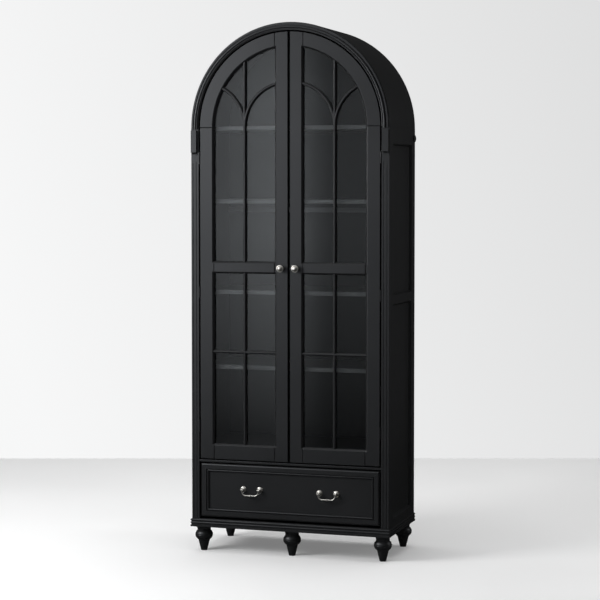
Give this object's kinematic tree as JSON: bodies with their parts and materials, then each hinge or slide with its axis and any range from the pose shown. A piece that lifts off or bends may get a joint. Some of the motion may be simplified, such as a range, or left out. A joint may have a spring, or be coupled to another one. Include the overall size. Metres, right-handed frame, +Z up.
{
  "type": "curio cabinet",
  "caption": "Tall arched display cabinet with glazed double doors, fixed display shelves, a drawer with bail pulls and turned feet.",
  "frame": {"origin": "middle of the cabinet's overall box, on the floor", "axes": "+X to the cabinet's right as seen from the front, +Y towards the back, -Y out of the front, +Z up"},
  "size_m": [0.912, 0.469, 2.323],
  "materials": {
    "black_paint": "satin near-black paint over wood",
    "inner_paint": "satin black-brown painted interior",
    "glass": "clear polished 3 mm glass",
    "pewter": "antique nickel, softly polished with dark hollows",
    "steel": "black-plated steel"
  },
  "bodies": {
    "cabinet": {"left_side_frame": "black_paint", "right_side_frame": "black_paint", "left_side_panels": "black_paint", "right_side_panels": "black_paint", "arch_top": "black_paint", "arch_frame": "black_paint", "arch_moulding": "black_paint", "back_panel": "inner_paint", "left_pilaster": "black_paint", "right_pilaster": "black_paint", "left_capital": "black_paint", "right_capital": "black_paint", "rear_capitals": "black_paint", "divider_rail": "black_paint", "base_rail": "black_paint", "front_base_moulding": "black_paint", "side_base_mouldings": "black_paint", "cabinet_floor": "inner_paint", "cabinet_bottom": "inner_paint", "door_catches": "steel", "drawer_runners": "steel", "cabinet_hinge_leaves": "steel", "front_left_foot": "black_paint", "front_middle_foot": "black_paint", "front_right_foot": "black_paint", "rear_left_foot": "black_paint", "rear_right_foot": "black_paint", "top_shelf": "inner_paint", "upper_shelf": "inner_paint", "middle_shelf": "inner_paint", "lower_shelf": "inner_paint", "shelf_rail": "inner_paint", "shelf_pins": "steel"},
    "left_door": {"left_outer_stile": "black_paint", "left_meeting_stile": "black_paint", "left_arch_rail": "black_paint", "left_mid_rail": "black_paint", "left_bottom_rail": "black_paint", "left_muntins": "black_paint", "left_glass": "glass", "left_hinge_leaves": "steel", "left_knob": "pewter"},
    "right_door": {"right_outer_stile": "black_paint", "right_meeting_stile": "black_paint", "right_arch_rail": "black_paint", "right_mid_rail": "black_paint", "right_bottom_rail": "black_paint", "right_muntins": "black_paint", "right_glass": "glass", "right_hinge_leaves": "steel", "right_knob": "pewter"},
    "drawer": {"drawer_border": "black_paint", "drawer_front": "black_paint", "drawer_box": "inner_paint", "drawer_bottom": "inner_paint", "drawer_slides": "steel", "pull_posts": "pewter"},
    "left_bail": {"left_bail": "pewter"},
    "right_bail": {"right_bail": "pewter"}
  },
  "joints": [
    {"name": "left_door_hinge", "type": "hinge", "parent": "cabinet", "child": "left_door", "pos_m": [-0.4125, -0.2055, 1.15], "axis": [0, 0, -1], "range_deg": [0, 95]},
    {"name": "right_door_hinge", "type": "hinge", "parent": "cabinet", "child": "right_door", "pos_m": [0.4125, -0.2055, 1.15], "axis": [0, 0, 1], "range_deg": [0, 95]},
    {"name": "drawer_slide", "type": "slide", "parent": "cabinet", "child": "drawer", "axis": [0, -1, 0], "range_m": [0, 0.3]},
    {"name": "left_bail_swing", "type": "hinge", "parent": "drawer", "child": "left_bail", "pos_m": [-0.175, -0.2155, 0.286], "axis": [-1, 0, 0], "range_deg": [-20, 90]},
    {"name": "right_bail_swing", "type": "hinge", "parent": "drawer", "child": "right_bail", "pos_m": [0.175, -0.2155, 0.286], "axis": [-1, 0, 0], "range_deg": [-20, 90]}
  ]
}
